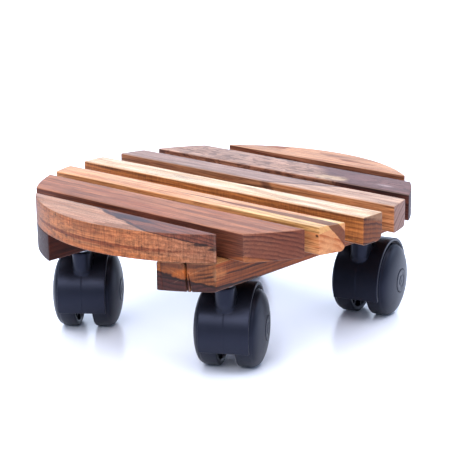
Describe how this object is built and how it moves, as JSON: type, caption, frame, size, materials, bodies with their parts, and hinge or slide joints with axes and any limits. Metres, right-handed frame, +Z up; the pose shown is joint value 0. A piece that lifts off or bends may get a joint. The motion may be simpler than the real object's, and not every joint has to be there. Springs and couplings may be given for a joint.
{
  "type": "plant pot caddy",
  "caption": "Low round slatted wooden platform on swivelling twin-wheel casters, for rolling a heavy plant pot about.",
  "frame": {"origin": "on the floor, under the centre of the round top", "axes": "+Z up, +X along the slats, +Y along the crossbars from the front segment to the rear segment"},
  "size_m": [0.25, 0.25, 0.0985],
  "materials": {
    "slat_wood": "oiled hardwood strips of mixed colour, from pale sapwood to purple-brown heartwood",
    "crossbar_wood": "oiled brown hardwood with eased lower edges",
    "hood_plastic": "satin black moulding with a fine texture",
    "wheel_plastic": "satin black moulding with a smooth domed face",
    "zinc_steel": "bright zinc plating",
    "bright_steel": "drawn steel, lightly greased"
  },
  "bodies": {
    "deck": {"slat_1_front_segment": "slat_wood", "slat_2_wide": "slat_wood", "slat_3_narrow": "slat_wood", "slat_4_centre": "slat_wood", "slat_5_narrow": "slat_wood", "slat_6_wide": "slat_wood", "slat_7_rear_segment": "slat_wood", "crossbar_left": "crossbar_wood", "crossbar_right": "crossbar_wood", "slat_1_screw_left": "zinc_steel", "slat_1_screw_right": "zinc_steel", "slat_2_screw_left": "zinc_steel", "slat_2_screw_right": "zinc_steel", "slat_3_screw_left": "zinc_steel", "slat_3_screw_right": "zinc_steel", "slat_4_screw_left": "zinc_steel", "slat_4_screw_right": "zinc_steel", "slat_5_screw_left": "zinc_steel", "slat_5_screw_right": "zinc_steel", "slat_6_screw_left": "zinc_steel", "slat_6_screw_right": "zinc_steel", "slat_7_screw_left": "zinc_steel", "slat_7_screw_right": "zinc_steel", "front_left_insert_nut": "zinc_steel", "front_left_stem": "zinc_steel", "front_left_retaining_ring": "bright_steel", "front_right_insert_nut": "zinc_steel", "front_right_stem": "zinc_steel", "front_right_retaining_ring": "bright_steel", "rear_right_insert_nut": "zinc_steel", "rear_right_stem": "zinc_steel", "rear_right_retaining_ring": "bright_steel", "rear_left_insert_nut": "zinc_steel", "rear_left_stem": "zinc_steel", "rear_left_retaining_ring": "bright_steel"},
    "front_left_caster": {"front_left_hood": "hood_plastic", "front_left_axle": "bright_steel"},
    "front_left_wheel_a": {"front_left_wheel_a": "wheel_plastic", "front_left_hub_cap_a": "wheel_plastic"},
    "front_left_wheel_b": {"front_left_wheel_b": "wheel_plastic", "front_left_hub_cap_b": "wheel_plastic"},
    "front_right_caster": {"front_right_hood": "hood_plastic", "front_right_axle": "bright_steel"},
    "front_right_wheel_a": {"front_right_wheel_a": "wheel_plastic", "front_right_hub_cap_a": "wheel_plastic"},
    "front_right_wheel_b": {"front_right_wheel_b": "wheel_plastic", "front_right_hub_cap_b": "wheel_plastic"},
    "rear_right_caster": {"rear_right_hood": "hood_plastic", "rear_right_axle": "bright_steel"},
    "rear_right_wheel_a": {"rear_right_wheel_a": "wheel_plastic", "rear_right_hub_cap_a": "wheel_plastic"},
    "rear_right_wheel_b": {"rear_right_wheel_b": "wheel_plastic", "rear_right_hub_cap_b": "wheel_plastic"},
    "rear_left_caster": {"rear_left_hood": "hood_plastic", "rear_left_axle": "bright_steel"},
    "rear_left_wheel_a": {"rear_left_wheel_a": "wheel_plastic", "rear_left_hub_cap_a": "wheel_plastic"},
    "rear_left_wheel_b": {"rear_left_wheel_b": "wheel_plastic", "rear_left_hub_cap_b": "wheel_plastic"}
  },
  "joints": [
    {"name": "front_left_swivel", "type": "hinge", "parent": "deck", "child": "front_left_caster", "pos_m": [-0.0613, -0.074, 0.0567], "axis": [0, 0, 1], "continuous": true},
    {"name": "front_left_wheel_a_spin", "type": "hinge", "parent": "front_left_caster", "child": "front_left_wheel_a", "pos_m": [-0.07258, -0.05871, 0.025], "axis": [0.8049, 0.5934, 0], "continuous": true},
    {"name": "front_left_wheel_b_spin", "type": "hinge", "parent": "front_left_caster", "child": "front_left_wheel_b", "pos_m": [-0.07258, -0.05871, 0.025], "axis": [0.8049, 0.5934, 0], "continuous": true},
    {"name": "front_right_swivel", "type": "hinge", "parent": "deck", "child": "front_right_caster", "pos_m": [0.0644, -0.071, 0.0567], "axis": [0, 0, 1], "continuous": true},
    {"name": "front_right_wheel_a_spin", "type": "hinge", "parent": "front_right_caster", "child": "front_right_wheel_a", "pos_m": [0.05499, -0.0545, 0.025], "axis": [0.8686, 0.4955, 0], "continuous": true},
    {"name": "front_right_wheel_b_spin", "type": "hinge", "parent": "front_right_caster", "child": "front_right_wheel_b", "pos_m": [0.05499, -0.0545, 0.025], "axis": [0.8686, 0.4955, 0], "continuous": true},
    {"name": "rear_right_swivel", "type": "hinge", "parent": "deck", "child": "rear_right_caster", "pos_m": [0.0644, 0.067, 0.0567], "axis": [0, 0, 1], "continuous": true},
    {"name": "rear_right_wheel_a_spin", "type": "hinge", "parent": "rear_right_caster", "child": "rear_right_wheel_a", "pos_m": [0.05926, 0.08529, 0.025], "axis": [0.9627, 0.2706, 0], "continuous": true},
    {"name": "rear_right_wheel_b_spin", "type": "hinge", "parent": "rear_right_caster", "child": "rear_right_wheel_b", "pos_m": [0.05926, 0.08529, 0.025], "axis": [0.9627, 0.2706, 0], "continuous": true},
    {"name": "rear_left_swivel", "type": "hinge", "parent": "deck", "child": "rear_left_caster", "pos_m": [-0.0613, 0.071, 0.0567], "axis": [0, 0, 1], "continuous": true},
    {"name": "rear_left_wheel_a_spin", "type": "hinge", "parent": "rear_left_caster", "child": "rear_left_wheel_a", "pos_m": [-0.06842, 0.08862, 0.025], "axis": [0.9272, 0.3746, 0], "continuous": true},
    {"name": "rear_left_wheel_b_spin", "type": "hinge", "parent": "rear_left_caster", "child": "rear_left_wheel_b", "pos_m": [-0.06842, 0.08862, 0.025], "axis": [0.9272, 0.3746, 0], "continuous": true}
  ]
}
